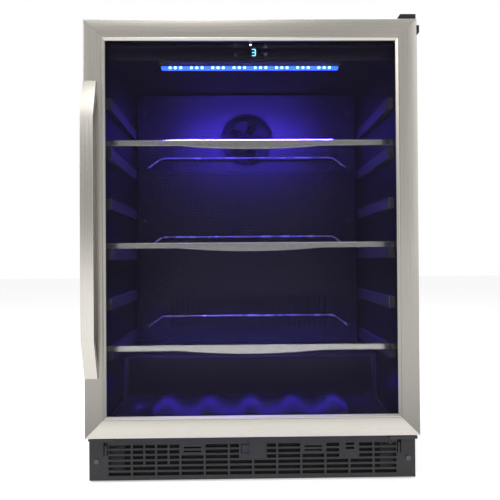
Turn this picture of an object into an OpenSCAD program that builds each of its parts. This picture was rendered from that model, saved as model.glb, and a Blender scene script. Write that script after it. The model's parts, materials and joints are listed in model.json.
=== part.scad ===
// Under-counter wine cooler: a foamed cabinet with a glazed, steel-framed door hinged on the right.
// +X is to the right, +Y to the back and +Z up. The origin is on the floor, under the middle of the
// whole object. Depths are measured back from the door's front face.

/* [Cabinet] */
// Width of the cabinet and of the door
body_w = 595; // [590:1:600]
// Height of the cabinet's top above the floor, with the feet screwed in
body_h = 832; // [826:1:840]
// Depth from the door's front face to the back panel
body_d = 575; // [570:1:590]
// Thickness of the sheet steel panels
sheet = 1; // [0.8:0.1:1.2]

/* [Door] */
// Height of the door's bottom edge above the floor
door_bottom = 88; // [86:1:90]
// Thickness of the door
door_t = 45; // [45:1:46]
// Width of each frame rail with its inner bead
rail_w = 38; // [37:0.5:40]
// Thickness of each glass pane
pane_t = 4; // [3:0.5:5]

/* [Handle] */
// Width of the strap
handle_w = 23.5; // [20:0.5:24]
// Thickness of the strap
handle_t = 8; // [7:0.5:9]
// How far the grip stands in front of the door
handle_reach = 37; // [30:1:40]
// Height of the handle's lower end
handle_z0 = 194.7; // [180:0.1:210]
// Height of the handle's upper end
handle_z1 = 720; // [700:1:730]

/* [Interior] */
// Half the inner width of the liner
liner_half = 276; // [275:0.5:277]
// Height of the liner's floor
liner_floor = 100; // [99:0.5:101]
// Height of the liner's ceiling
liner_ceiling = 808; // [807:0.5:809]
// Height of the top of the highest ledge
ledge_top = 712.2; // [708:0.1:714]
// Distance between one ledge and the next
ledge_pitch = 95.65; // [94:0.05:96]
// How far each ledge stands in from the liner's side
ledge_reach = 11.5; // [9:0.5:12]

/* [Shelves] */
// Thickness of the shelf glass
glass_t = 4; // [4:0.5:5]
// Depth of a shelf from its front trim to its back edge
shelf_d = 390; // [380:1:392]
// Rise of the rear guard wire above the glass
wire_rise = 27; // [15:1:40]

/* [Kick grille] */
// Height of the kick grille's top edge
kick_top = 79; // [76:1:79]
// Distance between one slot column and the next
slot_pitch_x = 44.1; // [43.5:0.1:44.5]
// Distance between one slot row and the next
slot_pitch_z = 9.9; // [9.5:0.1:10]

/* [Feet] */
// Radius of a foot's pad
foot_r = 18; // [14:1:22]
// Radius of a foot's screw
stud_r = 5; // [4:0.5:6]

/* [Hidden] */
$fn = 64;

front_y = -(body_d - handle_reach) / 2; // the door's front face, with the whole depth centred on Y = 0
half_w = body_w / 2;
frame_d = 50;          // depth of the cabinet's front plane
frame_t = 3;           // thickness of the front frame
liner_t = 2;
liner_back = 515;      // depth of the liner's rear wall
step_d = 281;          // depth of the compressor step's face
step_top = liner_floor + 98;
slab_gap = 0.3;        // clearance between neighbouring foam slabs and panels
pan_z = 14;            // underside of the base pan
pan_t = 1.5;
rear_inset = 3;        // how far the rear panel sits in from the back edges of the side panels
louvre_rows = 9;
inlet_x = 245;
inlet_z = 48;
deck_z = 160;          // ceiling of the compressor bay
foot_x = 255;
foot_d = [85, 535];
foot_gap = 0.05;       // running clearance of a foot's screw in its boss

mitre_gap = 0.1;
groove = [5.6, 5, 4.4]; // distances of the rail's shadow groove from its inner edge
bead_d = 3.5;
lip_d = 8;
rebate_u = 22;         // distance of the glass rebate's wall from the rail's outer edge
rebate_d = lip_d + 2 * pane_t + 12;
rail_sheet = 1.5;      // wall of the folded rail
keeper_w = 28;         // width of the rail's rear keeper, which holds the inner pane
mitre_w = 42;          // size of the triangle that cuts each rail's mitre
door_top = body_h;
pin_x = half_w - 12.5;
pin_d = 22;
pin_r = 4;
bush_r = 7;
bush_h = 16;

kick_d = 37;
kick_t = 3;
slot_w = 40.2;
slot_h = 6.2;
slot_z0 = 11.2;
slot_rows = 6;
slot_cols = 12;
catch_slot_x = [170, 185]; // ends of the two short slots of the grille's catch

cover_d = 465;
cover_t = 3;
cover_half = 265.5;
cover_top = 804;
cover_r = 22;          // radius of the cover's top corners
fan_z = 694.7;
fan_hole_r = 60;
intake_n = 31;
intake_pitch = 12.5;
cover_screws = [
    [-55, 749.5], [55, 749.5], [-85, 697], [85, 697], [-251, 758], [251, 758], [-251, 497], [251, 497]
];
latch_x = 267.8;       // centre of the spring latch at each end of the kick grille
kick_screw_x = 284.5;
kick_screw_z = 37.7;
hinge_screws_x = [253, 268];

trim_d = 62;
trim_h = 11;
ledge_h = 22;
ledge_d0 = 95;
ledge_d1 = 440;
bow_half = 132;        // half the length of the bowed part of a shelf trim's lower edge
bow_drop = 6;
wire_r = 2.2;
wire_half = 241;
wire_ramp = 34;

function at(d) = front_y + d;
function ledge_z(i) = ledge_top - (i - 1) * ledge_pitch;
function shelf_z(n) = ledge_z(2 * n) + 0.3;  // underside of shelf n's glass, counted from the top

// ---- helpers -------------------------------------------------------------

// A box from one corner to the other, with depths measured from the door's front face
module slab(x, d, z) {
    translate([x[0], at(d[0]), z[0]])
        cube([x[1] - x[0], d[1] - d[0], z[1] - z[0]]);
}

// Extrudes a (depth, z) outline along X
module along_x(x0, x1) {
    translate([x0, front_y, 0])
        rotate([90, 0, 90])
            linear_extrude(x1 - x0)
                children();
}

// Extrudes an (x, z) outline along Y
module along_y(d0, d1) {
    translate([0, at(d1), 0])
        rotate([90, 0, 0])
            linear_extrude(d1 - d0)
                children();
}

// A cylinder along Y
module drum(x, z, r, d0, d1) {
    translate([x, at(d0), z])
        rotate([-90, 0, 0])
            cylinder(h = d1 - d0, r = r);
}

// A cylinder along Z
module post(x, d, r, z0, z1) {
    translate([x, at(d), z0])
        cylinder(h = z1 - z0, r = r);
}

// A round bar from point a to point b, both as [x, depth, z]
module rod(a, b, r) {
    v = b - a;
    length = norm(v);
    translate([a[0], at(a[1]), a[2]])
        rotate([0, acos(v[2] / length), atan2(v[1], v[0])])
            cylinder(h = length, r = r, $fn = 24);
}

// A round tube through a list of points, with a brazed ball joint at each bend
module brazed_tube(points, r) {
    for (i = [0 : len(points) - 2]) {
        rod(points[i], points[i + 1], r);
    }
    for (i = [1 : len(points) - 2]) {
        translate([points[i][0], at(points[i][1]), points[i][2]])
            sphere(r = r * 1.3, $fn = 24);
    }
}

function unit(v) = v / norm(v);

// The path with each inner corner rounded by a short curve that starts and ends bend away from it
function rounded(path, bend) = [
    path[0],
    for (i = [1 : len(path) - 2])
        let (a = path[i] + bend * unit(path[i - 1] - path[i]))
        let (b = path[i] + bend * unit(path[i + 1] - path[i]))
            for (t = [0 : 0.25 : 1])
                (1 - t) * (1 - t) * a + 2 * t * (1 - t) * path[i] + t * t * b,
    path[len(path) - 1]
];

// A smoothly bent wire through a list of [x, depth, z] points
module wire(points, r) {
    for (i = [0 : len(points) - 2]) {
        hull() {
            for (p = [points[i], points[i + 1]]) {
                translate([p[0], at(p[1]), p[2]])
                    sphere(r = r, $fn = 16);
            }
        }
    }
}

// A cross-head screw whose head faces forwards, with its head's back at depth d
module cross_screw(x, z, d, head_r, shank) {
    head_h = head_r * 0.45;
    difference() {
        drum(x, z, head_r, d - head_h, d);
        slab([x - head_r * 0.6, x + head_r * 0.6], [d - head_h - 1, d - head_h / 2],
            [z - head_r * 0.11, z + head_r * 0.11]);
        slab([x - head_r * 0.11, x + head_r * 0.11], [d - head_h - 1, d - head_h / 2],
            [z - head_r * 0.6, z + head_r * 0.6]);
    }
    drum(x, z, head_r * 0.45, d, d + shank);
}

// ---- cabinet shell -------------------------------------------------------

module side_panel(side) {
    x0 = side < 0 ? -half_w : half_w - sheet;
    color([0.12, 0.12, 0.13])
        slab([x0, x0 + sheet], [frame_d, body_d], [pan_z, body_h - sheet]);
}

module top_panel() {
    color([0.12, 0.12, 0.13])
        difference() {
            slab([-half_w, half_w], [frame_d, body_d], [body_h - sheet, body_h]);
            for (side = [-1, 1]) {
                post(side * 200, 64, 2.25, body_h - sheet - 1, body_h + 1);
            }
        }
}

module rear_panel() {
    back = body_d - rear_inset;
    edge = half_w - sheet;
    color([0.5, 0.5, 0.51])
        difference() {
            slab([-edge, edge], [back - sheet, back], [pan_z, body_h - sheet]);
            for (row = [0 : louvre_rows - 1]) {
                z = 36 + row * 12;
                slab([-210, -30], [back - 3, back + 1], [z, z + 4]);
                slab([0, 180], [back - 3, back + 1], [z, z + 4]);
            }
            drum(inlet_x, inlet_z, 9, back - 3, back + 1);
        }
}

module front_frame() {
    inner_half = liner_half;
    back = frame_d + frame_t;
    edge = half_w - sheet - slab_gap;
    color([0.07, 0.07, 0.08]) {
        slab([-edge, edge], [frame_d, back], [liner_ceiling, body_h - sheet - slab_gap]);
        slab([-edge, edge], [frame_d, back], [door_bottom, liner_floor]);
        for (side = [-1, 1]) {
            inner = side * inner_half;
            outer = side * edge;
            slab([min(inner, outer), max(inner, outer)], [frame_d, back],
                [liner_floor + slab_gap, liner_ceiling - slab_gap]);
            slab([min(side * 235, outer), max(side * 235, outer)], [frame_d, back],
                [pan_z + pan_t, door_bottom - slab_gap]);
        }
    }
}

module inner_liner() {
    front = frame_d + frame_t;
    t = liner_t;
    color([0.16, 0.16, 0.18])
        difference() {
            along_x(-liner_half - t, liner_half + t)
                polygon([
                    [front, liner_floor - t], [step_d + t, liner_floor - t], [step_d + t, step_top - t],
                    [liner_back + t, step_top - t], [liner_back + t, liner_ceiling + t],
                    [front, liner_ceiling + t]
                ]);
            along_x(-liner_half, liner_half)
                polygon([
                    [front - 1, liner_floor], [step_d, liner_floor], [step_d, step_top],
                    [liner_back, step_top], [liner_back, liner_ceiling], [front - 1, liner_ceiling]
                ]);
        }
}

// Nine separate slabs fill the space between the liner and the steel shell
module foam_insulation() {
    front = frame_d + frame_t + slab_gap;
    back = body_d - rear_inset - sheet - slab_gap;
    outer = half_w - sheet - slab_gap;
    inner = liner_half + liner_t + slab_gap;
    roof = body_h - sheet - slab_gap;
    ceiling = liner_ceiling + liner_t + slab_gap;
    step_back = step_d + 30;
    color([0.92, 0.86, 0.62]) {
        for (side = [-1, 1]) {
            x = [min(side * inner, side * outer), max(side * inner, side * outer)];
            slab(x, [front, back], [deck_z + slab_gap, roof]);
            slab(x, [front, step_back], [door_bottom, deck_z]);
        }
        middle = [-inner + slab_gap, inner - slab_gap];
        slab(middle, [front, back], [ceiling, roof]);
        slab(middle, [liner_back + liner_t + slab_gap, back], [step_top, ceiling - slab_gap]);
        slab(middle, [step_back + slab_gap, back], [deck_z, step_top - liner_t - slab_gap]);
        slab(middle, [step_d + liner_t + slab_gap, step_back], [60, step_top - liner_t - slab_gap]);
        slab(middle, [front, step_d + liner_t], [60, liner_floor - liner_t - slab_gap]);
    }
}

module base_pan() {
    edge = half_w - sheet - slab_gap;
    color([0.35, 0.36, 0.37])
        difference() {
            union() {
                slab([-edge, edge], [frame_d + frame_t + slab_gap, body_d - rear_inset - sheet - slab_gap],
                    [pan_z, pan_z + pan_t]);
                for (side = [-1, 1]) {
                    for (d = foot_d) {
                        post(side * foot_x, d, 10, pan_z, pan_z + 16);
                    }
                }
            }
            for (side = [-1, 1]) {
                for (d = foot_d) {
                    post(side * foot_x, d, stud_r + foot_gap, pan_z - 1, pan_z + 17);
                }
            }
        }
}

// ---- cold compartment ----------------------------------------------------

// One side's six ledges, each tapering a little towards the back
module shelf_ledges(side) {
    color([0.2, 0.2, 0.22])
        for (i = [1 : 6]) {
            translate([0, 0, ledge_z(i) - ledge_h])
                linear_extrude(ledge_h)
                    polygon([
                        [side * (liner_half - 0.05), at(ledge_d0)],
                        [side * (liner_half - ledge_reach + 1.5), at(ledge_d0)],
                        [side * (liner_half - ledge_reach), at(ledge_d0 + 1.5)],
                        [side * (liner_half - ledge_reach + 3), at(ledge_d1)],
                        [side * (liner_half - 0.05), at(ledge_d1)]
                    ]);
        }
}

// Scalloped rack on the floor, whose troughs hold the lowest row of bottles
module bottle_cradle() {
    pitch = 87;
    waves = 6;
    depth = 11;
    t = 3;
    n = 12;
    base = liner_floor + 0.5;
    half = pitch * waves / 2;
    function wave(x) = depth / 2 * (1 + cos(360 * x / pitch));
    top = [for (i = [-n * waves / 2 : n * waves / 2]) [i * pitch / n, base + t + wave(i * pitch / n)]];
    bottom = [for (i = [n * waves / 2 : -1 : -n * waves / 2]) [i * pitch / n, base + wave(i * pitch / n)]];
    color([0.1, 0.1, 0.11])
        along_y(70, step_d - 2)
            polygon(concat(top, bottom));
}

module cover_outline(inset) {
    half = cover_half - inset;
    bottom = step_top + 1 + inset;
    top = cover_top - inset;
    r = cover_r - inset;
    translate([-half, bottom])
        square([2 * half, top - bottom - r]);
    translate([-half + r, bottom])
        square([2 * half - 2 * r, top - bottom]);
    for (side = [-1, 1]) {
        translate([side * (half - r), top - r])
            circle(r = r);
    }
}

module evaporator_cover() {
    color([0.17, 0.17, 0.2])
        difference() {
            along_y(cover_d, liner_back - 0.5)
                cover_outline(0);
            along_y(cover_d + cover_t, liner_back + 1)
                cover_outline(cover_t);
            drum(0, fan_z, fan_hole_r, cover_d - 1, cover_d + cover_t + 1);
            for (i = [0 : intake_n - 1]) {
                x = (i - (intake_n - 1) / 2) * intake_pitch;
                slab([x - 3, x + 3], [cover_d - 1, cover_d + cover_t + 1], [226, 314]);
            }
            for (s = cover_screws) {
                drum(s[0], s[1], 2, cover_d - 1, cover_d + cover_t + 1);
            }
        }
}

// A flat ring around the fan's axis, standing proud of the cover
module grille_ring(inner, outer, proud) {
    difference() {
        drum(0, fan_z, outer, cover_d - proud, cover_d);
        drum(0, fan_z, inner, cover_d - proud - 1, cover_d + 1);
    }
}

module fan_grille() {
    color([0.2, 0.2, 0.24]) {
        for (r = [16 : 7 : 51]) {
            grille_ring(r - 1, r + 1, 2);
        }
        grille_ring(fan_hole_r - 3, fan_hole_r + 4, 2.4);
        drum(0, fan_z, 9, cover_d - 2.4, cover_d);
        for (a = [45 : 90 : 315]) {
            translate([0, at(cover_d - 1.2), fan_z])
                rotate([0, a, 0])
                    translate([8, 0, -1.5])
                        cube([fan_hole_r - 9, 1.2, 3]);
        }
    }
}

// A block of fins on straight tubes
module fin_block(x, d, z, fins, tubes_d, tubes_z, tube_r) {
    for (i = [0 : fins - 1]) {
        fx = x[0] + 8 + (x[1] - x[0] - 16) * i / (fins - 1);
        slab([fx - 0.4, fx + 0.4], d, z);
    }
    for (i = [0 : tubes_d - 1]) {
        for (j = [0 : tubes_z - 1]) {
            td = d[0] + (d[1] - d[0]) * (i + 0.5) / tubes_d;
            tz = z[0] + (z[1] - z[0]) * (j + 0.5) / tubes_z;
            rod([x[0], td, tz], [x[1], td, tz], tube_r);
        }
    }
}

module evaporator_coil() {
    color([0.75, 0.76, 0.78])
        fin_block([-210, 210], [474, 506], [380, 520], 22, 1, 4, 4);
}

// A small axial rotor: hub, pitched blades and a bored centre for its shaft
module fan_rotor(tip_r, depth, shaft_r) {
    hub_r = tip_r * 0.35;
    color([0.1, 0.1, 0.12])
        difference() {
            union() {
                cylinder(h = depth, r = hub_r);
                for (a = [0 : 72 : 288]) {
                    rotate([0, 0, a])
                        translate([hub_r - 2, 0, depth / 2])
                            rotate([35, 0, 0])
                                translate([0, -tip_r * 0.3, -0.6])
                                    cube([tip_r * 0.93 - hub_r, tip_r * 0.6, 1.2]);
                }
            }
            translate([0, 0, -30])
                cylinder(h = 60, r = shaft_r + foot_gap);
            translate([0, 0, -30])
                cylinder(h = 30, r = tip_r + 5);
            translate([0, 0, depth])
                cylinder(h = 30, r = tip_r + 5);
        }
}

module evaporator_fan() {
    translate([0, at(485), fan_z])
        rotate([90, 0, 0])
            fan_rotor(52, 14, 2);
}

module evaporator_fan_motor() {
    color([0.3, 0.3, 0.32]) {
        drum(0, fan_z, 22, 489, 508);
        drum(0, fan_z, 2, 473, 489);
        slab([-70, 70], [508, 512], [fan_z - 10, fan_z + 10]);
    }
}

module sensor_cover() {
    color([0.2, 0.2, 0.23])
        along_y(cover_d - 8, cover_d)
            difference() {
                translate([-19, 453.6])
                    square([38, 33]);
                for (i = [-1 : 1]) {
                    translate([-12, 469 + i * 8])
                        square([24, 3]);
                }
            }
}

// ---- controls and light --------------------------------------------------

module control_panel() {
    color([0.09, 0.09, 0.1])
        difference() {
            slab([-270, 270], [58, 110], [772, 806]);
            slab([-266, 266], [61, 111], [775, 803]);
        }
}

module display_window() {
    color([0.03, 0.03, 0.04])
        along_y(55, 58)
            difference() {
                translate([-267, 772])
                    square([534, 34]);
                translate([-267, 798])
                    square([8, 8]);
            }
}

module led_housing() {
    color([0.85, 0.87, 0.9])
        along_x(-170, 170)
            polygon([[68, 766], [86, 766], [90, 772], [64, 772]]);
}

module led_lens() {
    color([0.3, 0.75, 1, 0.8])
        along_x(-166.5, 166.5)
            polygon([[69, 766], [85, 766], [83, 762], [71, 762]]);
}

// ---- kick grille ---------------------------------------------------------

// One slot, given by its column, its row from the bottom and the part of its width that is open
module kick_slot(col, row, from, to) {
    x0 = (col - (slot_cols - 1) / 2) * slot_pitch_x - slot_w / 2;
    z0 = slot_z0 + row * slot_pitch_z;
    slab([x0 + from * slot_w, x0 + to * slot_w], [kick_d - 1, kick_d + kick_t + 1], [z0, z0 + slot_h]);
}

// The open parts of the slot in one column and row
function slot_parts(col, row) =
    (col == 1 || col == 2) && row >= 2 ? [[0, 0.47], [0.56, 1]] :
    (col == 3 || col == 8) && row >= 4 ? [] :
    col == 5 && row >= 3 ? [[0, 0.41]] :
    col == 6 && row >= 3 ? [[0.59, 1]] :
    col == 9 && row >= 3 ? [[0, 0.58]] :
    col == 10 && row >= 3 ? [[0.4, 1]] :
    [[0, 1]];

module kick_grille() {
    color([0.29, 0.29, 0.3]) {
        for (side = [-1, 1]) {
            slab([side * latch_x - 2, side * latch_x + 2], [kick_d, kick_d + kick_t], [46, 66]);
        }
        difference() {
            union() {
                slab([-half_w, half_w], [kick_d, kick_d + kick_t], [3, kick_top]);
                for (side = [-1, 1]) {
                    x = side < 0 ? -half_w : half_w - 3;
                    slab([x, x + 3], [kick_d, frame_d - slab_gap], [3, kick_top]);
                }
            }
            for (col = [0 : slot_cols - 1]) {
                for (row = [0 : slot_rows - 1]) {
                    for (part = slot_parts(col, row)) {
                        kick_slot(col, row, part[0], part[1]);
                    }
                }
            }
            for (col = [3, 8]) {
                x0 = (col - (slot_cols - 1) / 2) * slot_pitch_x - slot_w / 2;
                for (z = [52.5, 59.5]) {
                    slab([x0 + 4, x0 + slot_w - 4], [kick_d - 1, kick_d + kick_t + 1], [z, z + 3]);
                }
            }
            for (z = [55, 62.5]) {
                slab(catch_slot_x, [kick_d - 1, kick_d + kick_t + 1], [z, z + 4]);
            }
            slab([-21.3, -20], [kick_d - 1, kick_d + kick_t + 1], [49.5, 66.6]);
            for (z = [49.5, 65.3]) {
                slab([-21.3, -7.5], [kick_d - 1, kick_d + kick_t + 1], [z, z + 1.3]);
            }
            for (side = [-1, 1]) {
                slab([side * latch_x - 3.8, side * latch_x + 3.8], [kick_d - 1, kick_d + kick_t + 1],
                    [47, 72]);
                drum(side * kick_screw_x, kick_screw_z, 2.1, kick_d - 1, kick_d + kick_t + 1);
            }
        }
    }
}

// A plain plate clipped over the middle of the kick grille
module kick_plate() {
    color([0.31, 0.31, 0.32])
        slab([-7, 22.5], [kick_d - 2, kick_d], [41, kick_top - 0.5]);
}

module panel_screws() {
    color([0.55, 0.55, 0.57]) {
        for (s = cover_screws) {
            cross_screw(s[0], s[1], cover_d, 4, cover_t);
        }
        for (side = [-1, 1]) {
            cross_screw(side * kick_screw_x, kick_screw_z, kick_d, 4.5, kick_t);
        }
        for (x = hinge_screws_x) {
            cross_screw(x, 60, frame_d - 3, 4.2, 3);
        }
    }
}

// ---- cooling machinery ---------------------------------------------------

module compressor() {
    x = 130;
    d = 448;
    color([0.08, 0.08, 0.09]) {
        translate([x, at(d), 0])
            rotate_extrude()
                polygon([
                    [0, 32], [50, 32], [62, 44], [66, 60], [66, 84], [64, 86], [66, 88], [66, 116],
                    [60, 134], [44, 146], [20, 151], [0, 152]
                ]);
        slab([x - 88, x + 88], [d - 52, d + 52], [28, 32]);
        slab([x + 60, x + 84], [d - 22, d + 22], [70, 112]);
    }
}

module compressor_mounts() {
    color([0.05, 0.05, 0.05])
        for (sx = [-1, 1]) {
            for (sd = [-1, 1]) {
                post(130 + sx * 76, 448 + sd * 40, 11, pan_z + pan_t, 28);
            }
        }
}

module condenser_coil() {
    color([0.2, 0.2, 0.21])
        fin_block([-200, 60], [110, 300], [pan_z + pan_t, 56], 20, 5, 1, 4);
}

module condenser_fan_motor() {
    x = -90;
    z = 86;
    color([0.14, 0.14, 0.15]) {
        difference() {
            slab([x - 60, x + 60], [332, 352], [z - 60, z + 60]);
            drum(x, z, 55, 331, 353);
        }
        drum(x, z, 18, 353, 372);
        drum(x, z, 2.5, 336, 353);
        for (a = [45, 135, 225, 315]) {
            rod([x + 14 * cos(a), 360, z + 14 * sin(a)], [x + 74 * cos(a), 360, z + 74 * sin(a)], 3);
            rod([x + 72 * cos(a), 351, z + 72 * sin(a)], [x + 72 * cos(a), 361, z + 72 * sin(a)], 3.5);
        }
    }
}

module condenser_fan() {
    translate([-90, at(350), 86])
        rotate([90, 0, 0])
            fan_rotor(50, 14, 2.5);
}

module drip_tray() {
    color([0.25, 0.25, 0.26])
        difference() {
            slab([-235, -40], [425, 560], [pan_z + pan_t, 48]);
            slab([-232, -43], [428, 557], [pan_z + pan_t + 3, 49]);
        }
}

module refrigerant_pipes() {
    copper = [0.75, 0.42, 0.25];
    color(copper) {
        brazed_tube([
            [63, 448, 100], [40, 448, 100], [40, 448, 148], [40, 345, 148], [72, 345, 148], [72, 345, 36],
            [72, 281, 36], [61, 281, 36]
        ], 3);
        brazed_tube([[130, 515, 100], [130, 545, 100], [130, 545, 158]], 4);
    }
}

module mains_inlet() {
    color([0.06, 0.06, 0.06])
        difference() {
            union() {
                drum(inlet_x, inlet_z, 8.95, body_d - 14, body_d);
                drum(inlet_x, inlet_z, 12, body_d - 14, body_d - rear_inset - sheet - 1);
            }
            drum(inlet_x, inlet_z, 4.2, body_d - 15, body_d + 1);
        }
}

module electronics_box() {
    color([0.75, 0.75, 0.73])
        difference() {
            slab([-285, -185], [330, 410], [pan_z + pan_t, 96]);
            slab([-282, -188], [333, 407], [pan_z + pan_t + 3, 93]);
        }
}

module foot(side, d) {
    color([0.1, 0.1, 0.1]) {
        post(side * foot_x, d, foot_r, 0, 7);
        translate([side * foot_x, at(d), 7])
            cylinder(h = 6, r = 10, $fn = 6);
        post(side * foot_x, d, stud_r, 13, 50);
    }
}

// ---- hinges --------------------------------------------------------------

module hinge_bracket_lower() {
    color([0.1, 0.1, 0.11])
        difference() {
            union() {
                slab([243, 293], [3, frame_d], [81, 86]);
                slab([243, 278], [frame_d - 3, frame_d], [45, 81]);
                post(pin_x, pin_d, pin_r, 86, door_bottom + bush_h - 1);
            }
            for (x = hinge_screws_x) {
                drum(x, 60, 2, frame_d - 4, frame_d + 1);
            }
        }
}

module hinge_bracket_upper() {
    color([0.1, 0.1, 0.11]) {
        slab([270, 295], [8, 90], [body_h + 1.5, body_h + 4.5]);
        slab([270, 295], [frame_d + 2, 90], [body_h, body_h + 1.5]);
        post(pin_x, pin_d, pin_r, door_top - bush_h + 1, body_h + 1.5);
    }
}

module hinge_cap() {
    z0 = body_h + 1.2;
    color([0.3, 0.3, 0.31])
        difference() {
            along_y(5, 93)
                polygon([[263, z0], [269, z0 + 8.8], [297, z0 + 8.8], [297, z0]]);
            along_y(7, 91)
                polygon([[268, z0 - 1], [269.5, z0 + 4], [295.5, z0 + 4], [295.5, z0 - 1]]);
        }
}

// Covers the unused hinge position on the left
module blanking_plate() {
    color([0.13, 0.13, 0.14]) {
        slab([-293, -245], [6, frame_d], [82.5, 85.5]);
        slab([-290, -248], [frame_d - 3, frame_d], [60, 82.5]);
    }
}

// ---- door ----------------------------------------------------------------

// The rail's section as (distance from the outer edge, depth)
function rail_section() = [
    [0, 2], [2, 0], [rail_w - groove[0], 0], [rail_w - groove[1], 0.9], [rail_w - groove[2], 0],
    [rail_w, bead_d], [rail_w, lip_d], [rebate_u, lip_d], [rebate_u, rebate_d], [keeper_w, rebate_d],
    [keeper_w, door_t], [0, door_t]
];

// The hollow inside the rail's folded sheet
function rail_hollow() = [
    [rail_sheet, 2.6], [2.6, rail_sheet], [rebate_u - rail_sheet, rail_sheet],
    [rebate_u - rail_sheet, rebate_d + rail_sheet], [keeper_w - rail_sheet, rebate_d + rail_sheet],
    [keeper_w - rail_sheet, door_t - rail_sheet], [rail_sheet, door_t - rail_sheet]
];

module horizontal_rail(top) {
    edge = top ? door_top : door_bottom;
    dir = top ? -1 : 1;
    intersection() {
        along_x(-half_w, half_w)
            difference() {
                polygon([for (p = rail_section()) [p[1], edge + dir * p[0]]]);
                polygon([for (p = rail_hollow()) [p[1], edge + dir * p[0]]]);
            }
        along_y(-1, door_t + 1)
            polygon([
                [-half_w + mitre_gap, edge], [half_w - mitre_gap, edge],
                [half_w - mitre_gap - mitre_w, edge + dir * mitre_w],
                [-half_w + mitre_gap + mitre_w, edge + dir * mitre_w]
            ]);
    }
}

module upright_rail(side) {
    intersection() {
        translate([0, 0, door_bottom])
            linear_extrude(door_top - door_bottom)
                difference() {
                    polygon([for (p = rail_section()) [side * (half_w - p[0]), at(p[1])]]);
                    polygon([for (p = rail_hollow()) [side * (half_w - p[0]), at(p[1])]]);
                }
        along_y(-1, door_t + 1)
            polygon([
                [side * half_w, door_bottom + mitre_gap],
                [side * (half_w - mitre_w), door_bottom + mitre_gap + mitre_w],
                [side * (half_w - mitre_w), door_top - mitre_gap - mitre_w],
                [side * half_w, door_top - mitre_gap]
            ]);
    }
}

handle_x = -half_w + 1.5 + handle_w / 2;
handle_screw_z = [handle_z0 + 9, handle_z1 - 9];

module door_frame() {
    color([0.68, 0.67, 0.65])
        difference() {
            union() {
                horizontal_rail(true);
                horizontal_rail(false);
                upright_rail(-1);
                upright_rail(1);
            }
            post(pin_x, pin_d, bush_r, door_bottom - 1, door_bottom + bush_h);
            post(pin_x, pin_d, bush_r, door_top - bush_h, door_top + 1);
            for (z = handle_screw_z) {
                drum(handle_x, z, 2.6, -1, 3);
                drum(handle_x, z, 5.2, door_t - 3, door_t + 1);
            }
        }
}

module hinge_bushes() {
    color([0.9, 0.9, 0.88])
        for (z = [door_bottom, door_top - bush_h]) {
            difference() {
                post(pin_x, pin_d, bush_r, z, z + bush_h);
                post(pin_x, pin_d, pin_r + 0.05, z - 1, z + bush_h + 1);
            }
        }
}

// A pane of door glass in the rails' rebate, from depth d
module door_pane(d) {
    gap = rebate_u + 0.5;
    slab([-half_w + gap, half_w - gap], [d, d + pane_t], [door_bottom + gap, door_top - gap]);
}

module door_glass_outer() {
    color([0.08, 0.08, 0.1, 0.5])
        door_pane(lip_d);
}

module door_glass_inner() {
    color([0.3, 0.3, 0.34, 0.4])
        door_pane(rebate_d - pane_t);
}

module glass_spacer() {
    gap = rebate_u + 1;
    w = 10;
    d = [lip_d + pane_t, rebate_d - pane_t];
    color([0.1, 0.1, 0.1]) {
        for (z = [door_bottom + gap, door_top - gap - w]) {
            slab([-half_w + gap, half_w - gap], d, [z, z + w]);
        }
        for (x = [-half_w + gap, half_w - gap - w]) {
            slab([x, x + w], d, [door_bottom + gap + w + 0.2, door_top - gap - w - 0.2]);
        }
    }
}

// The magnetic seal on the back of the rails
module door_gasket() {
    gap = 10;
    w = 11;
    d = [door_t, frame_d - 0.3];
    color([0.12, 0.12, 0.12]) {
        for (z = [door_bottom + gap - 9, door_top - gap - w]) {
            slab([-half_w + gap, half_w - gap], d, [z, z + w]);
        }
        for (x = [-half_w + gap, half_w - gap - w]) {
            slab([x, x + w], d, [door_bottom + gap - 9 + w + 0.2, door_top - gap - w - 0.2]);
        }
    }
}

module door_handle() {
    rise = 69.3;
    foot_h = 18;
    reach = handle_reach;
    t = handle_t;
    color([0.66, 0.66, 0.65])
        difference() {
            along_x(handle_x - handle_w / 2, handle_x + handle_w / 2)
                polygon([
                    [0, handle_z0], [-t, handle_z0], [-reach, handle_z0 + rise], [-reach, handle_z1 - rise],
                    [-t, handle_z1], [0, handle_z1], [0, handle_z1 - foot_h],
                    [-reach + t, handle_z1 - rise - 4], [-reach + t, handle_z0 + rise + 4],
                    [0, handle_z0 + foot_h]
                ]);
            for (z = handle_screw_z) {
                drum(handle_x, z, 2.6, -6, 1);
            }
        }
}

module handle_screws() {
    color([0.6, 0.6, 0.62])
        for (z = handle_screw_z) {
            drum(handle_x, z, 2.5, -5.5, rail_sheet);
            drum(handle_x, z, 4.5, rail_sheet, rail_sheet + 4);
        }
}

// Closes the hinge adjuster's hole in the door's right edge
module door_side_cap() {
    color([0.1, 0.1, 0.11])
        along_y(8, 26)
            polygon([[half_w, 804], [half_w + 6.5, 810], [half_w + 6.5, 823], [half_w, 823]]);
}

// ---- shelves -------------------------------------------------------------

module glass_shelf(n) {
    color([0.75, 0.85, 0.9, 0.35])
        slab([-272, 272], [trim_d + 2, trim_d + shelf_d], [shelf_z(n), shelf_z(n) + glass_t]);
}

// The front trim: a channel on the glass's front edge, whose face bows down in the middle
module shelf_trim(n) {
    z0 = shelf_z(n) - 1.3;
    z1 = z0 + trim_h;
    bow_n = 12;
    function bow(x) = bow_drop * (1 - pow(x / bow_half, 2));
    lower = [for (i = [-bow_n : bow_n]) [i * bow_half / bow_n, z0 - bow(i * bow_half / bow_n)]];
    color([0.72, 0.72, 0.7]) {
        along_y(trim_d, trim_d + 1.8)
            polygon(concat([[-272, z1], [-272, z0]], lower, [[272, z0], [272, z1]]));
        slab([-272, 272], [trim_d + 1.8, trim_d + 12], [z0, shelf_z(n)]);
        slab([-272, 272], [trim_d + 1.8, trim_d + 12], [shelf_z(n) + glass_t, z1]);
    }
}

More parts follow.
